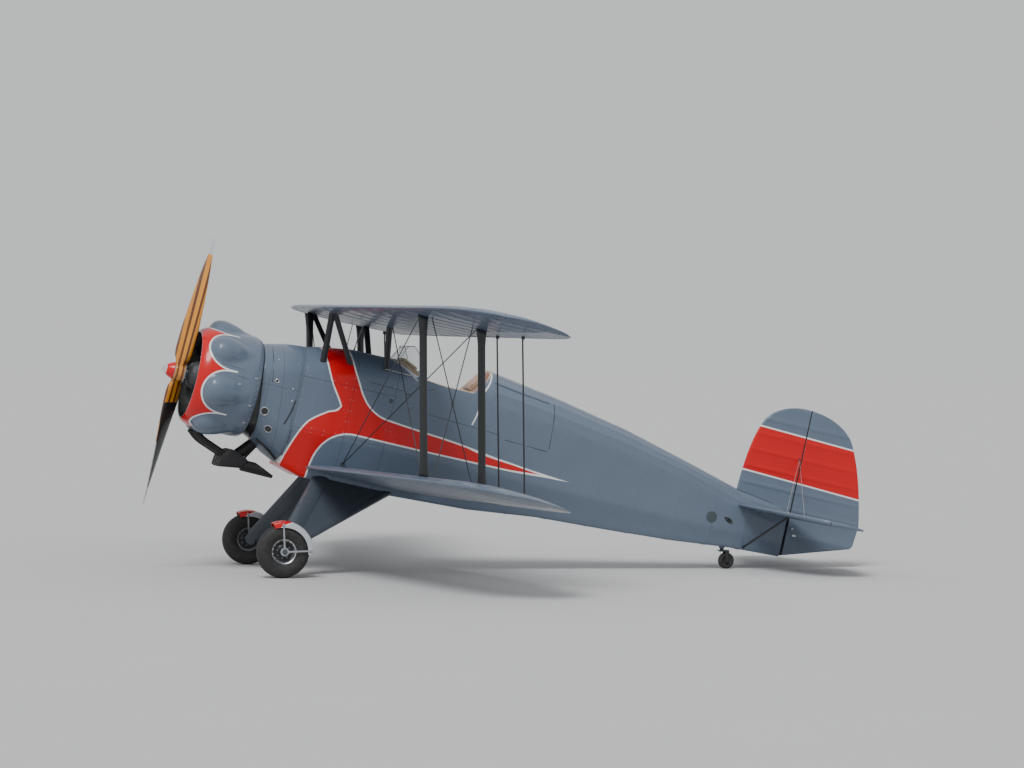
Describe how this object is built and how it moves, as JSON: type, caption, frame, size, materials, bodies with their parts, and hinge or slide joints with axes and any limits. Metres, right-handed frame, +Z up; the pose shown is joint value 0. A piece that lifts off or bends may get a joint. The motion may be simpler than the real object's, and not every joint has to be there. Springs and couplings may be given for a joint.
{
  "type": "single-seat aerobatic biplane",
  "caption": "Single-seat aerobatic biplane of the 1930s with a blistered radial engine cowl, swept wings, an open cockpit and a fixed tailwheel undercarriage",
  "frame": {"origin": "under the middle of the aircraft's bounding box, on the ground", "axes": "+X aft, +Y to starboard, +Z up"},
  "size_m": [6.0436, 6.6, 2.6681],
  "materials": {
    "grey_paint": "gloss blue-grey paint",
    "silver_paint": "satin silver-grey paint",
    "red_paint": "gloss red paint",
    "black_paint": "satin black paint",
    "stay_steel": "dark varnished steel wire",
    "engine_metal": "dark cast metal",
    "blade_wood": "varnished laminated wood",
    "tyre_rubber": "matt black rubber",
    "wheel_metal": "turned aluminium",
    "seat_metal": "plain sheet aluminium",
    "clear_screen": "clear sheet",
    "tan_leather": "worn tan leather",
    "beige_fabric": "woven canvas cover"
  },
  "bodies": {
    "airframe": {"front_fuselage": "grey_paint", "cockpit_shell": "grey_paint", "rear_fuselage": "grey_paint", "accessory_cowl": "grey_paint", "engine_cowl": "grey_paint", "upper_wing_centre": "grey_paint", "upper_wing_left": "grey_paint", "upper_wing_right": "grey_paint", "lower_wing_left": "grey_paint", "lower_wing_right": "grey_paint", "fin": "grey_paint", "tailplane_left": "grey_paint", "tailplane_right": "grey_paint", "mudguard_left": "grey_paint", "mudguard_right": "grey_paint", "exhaust": "black_paint", "interplane_front_left": "black_paint", "interplane_front_right": "black_paint", "interplane_rear_left": "black_paint", "interplane_rear_right": "black_paint", "cabane_front_left": "black_paint", "cabane_front_right": "black_paint", "cabane_rear_left": "black_paint", "cabane_rear_right": "black_paint", "tailplane_strut_left": "black_paint", "tailplane_strut_right": "black_paint", "gear_leg_left": "black_paint", "gear_leg_right": "black_paint", "control_stick": "black_paint", "instrument_panel": "black_paint", "bay_wires_left": "stay_steel", "bay_wires_right": "stay_steel", "incidence_wires_left": "stay_steel", "incidence_wires_right": "stay_steel", "engine": "engine_metal", "seat": "seat_metal", "windscreen": "clear_screen", "coaming_pad": "tan_leather", "headrest_pad": "beige_fabric"},
    "propeller": {"propeller": "blade_wood", "spinner": "red_paint"},
    "wheel_left": {"main_tyre_left": "tyre_rubber", "main_wheel_left": "wheel_metal"},
    "wheel_right": {"main_tyre_right": "tyre_rubber", "main_wheel_right": "wheel_metal"},
    "tail_fork": {"tailwheel_fork": "black_paint"},
    "tail_wheel": {"tailwheel": "tyre_rubber"},
    "rudder": {"rudder": "grey_paint"},
    "elevators": {"elevators": "grey_paint"},
    "aileron_upper_left": {"aileron_upper_left": "silver_paint"},
    "aileron_upper_right": {"aileron_upper_right": "silver_paint"},
    "aileron_lower_left": {"aileron_lower_left": "silver_paint"},
    "aileron_lower_right": {"aileron_lower_right": "silver_paint"},
    "rods_left": {"aileron_rod_1_left": "black_paint", "aileron_rod_2_left": "black_paint"},
    "rods_right": {"aileron_rod_1_right": "black_paint", "aileron_rod_2_right": "black_paint"}
  },
  "joints": [
    {"name": "propeller_turn", "type": "hinge", "parent": "airframe", "child": "propeller", "pos_m": [-2.78759, 0, 1.59644], "axis": [0.9774, 0, -0.2113], "continuous": true},
    {"name": "tail_steer", "type": "hinge", "parent": "airframe", "child": "tail_fork", "pos_m": [1.80479, 0, 0.15], "axis": [0, 0, 1], "range_deg": [-35, 35]},
    {"name": "tail_wheel_turn", "type": "hinge", "parent": "tail_fork", "child": "tail_wheel", "pos_m": [1.84376, 0, 0.068], "axis": [0, 1, 0], "continuous": true},
    {"name": "rudder_hinge", "type": "hinge", "parent": "airframe", "child": "rudder", "pos_m": [2.41956, 0, 0.48699], "axis": [0.2113, 0, 0.9774], "range_deg": [-28, 28]},
    {"name": "elevator_hinge", "type": "hinge", "parent": "airframe", "child": "elevators", "pos_m": [2.33365, 0, 0.44929], "axis": [0, 1, 0], "range_deg": [-30, 25]},
    {"name": "wheel_turn_left", "type": "hinge", "parent": "airframe", "child": "wheel_left", "pos_m": [-2.07243, -0.737, 0.21], "axis": [0, 1, 0], "continuous": true},
    {"name": "wheel_turn_right", "type": "hinge", "parent": "airframe", "child": "wheel_right", "pos_m": [-2.07243, 0.737, 0.21], "axis": [0, 1, 0], "continuous": true},
    {"name": "aileron_upper_left_hinge", "type": "hinge", "parent": "airframe", "child": "aileron_upper_left", "pos_m": [-0.8019, -1.76, 1.97429], "axis": [-0.195, 0.9808, 0.0001], "range_deg": [-22, 22]},
    {"name": "aileron_upper_right_hinge", "type": "hinge", "parent": "airframe", "child": "aileron_upper_right", "pos_m": [-0.8019, 1.76, 1.97429], "axis": [0.195, 0.9808, -0.0001], "range_deg": [-22, 22]},
    {"name": "aileron_lower_left_hinge", "type": "hinge", "parent": "airframe", "child": "aileron_lower_left", "pos_m": [-0.77827, -1.76, 0.69234], "axis": [-0.195, 0.9808, 0.0001], "range_deg": [-22, 22]},
    {"name": "aileron_lower_right_hinge", "type": "hinge", "parent": "airframe", "child": "aileron_lower_right", "pos_m": [-0.77827, 1.76, 0.69234], "axis": [0.195, 0.9808, -0.0001], "range_deg": [-22, 22]},
    {"name": "rods_left_pivot", "type": "hinge", "parent": "aileron_lower_left", "child": "rods_left", "pos_m": [-0.62467, -1.85909, 0.68493], "axis": [-0.195, 0.9808, 0.0001], "range_deg": [-23.5, 23.5]},
    {"name": "rods_right_pivot", "type": "hinge", "parent": "aileron_lower_right", "child": "rods_right", "pos_m": [-0.62467, 1.85909, 0.68493], "axis": [0.195, 0.9808, -0.0001], "range_deg": [-23.5, 23.5]}
  ],
  "couplings": [
    {"joint": "aileron_upper_left_hinge", "follows": "aileron_lower_left_hinge", "ratio": 1},
    {"joint": "aileron_lower_right_hinge", "follows": "aileron_lower_left_hinge", "ratio": -1},
    {"joint": "aileron_upper_right_hinge", "follows": "aileron_lower_left_hinge", "ratio": -1},
    {"joint": "rods_left_pivot", "follows": "aileron_lower_left_hinge", "ratio": -1.0425},
    {"joint": "rods_right_pivot", "follows": "aileron_lower_left_hinge", "ratio": 1.0425}
  ]
}
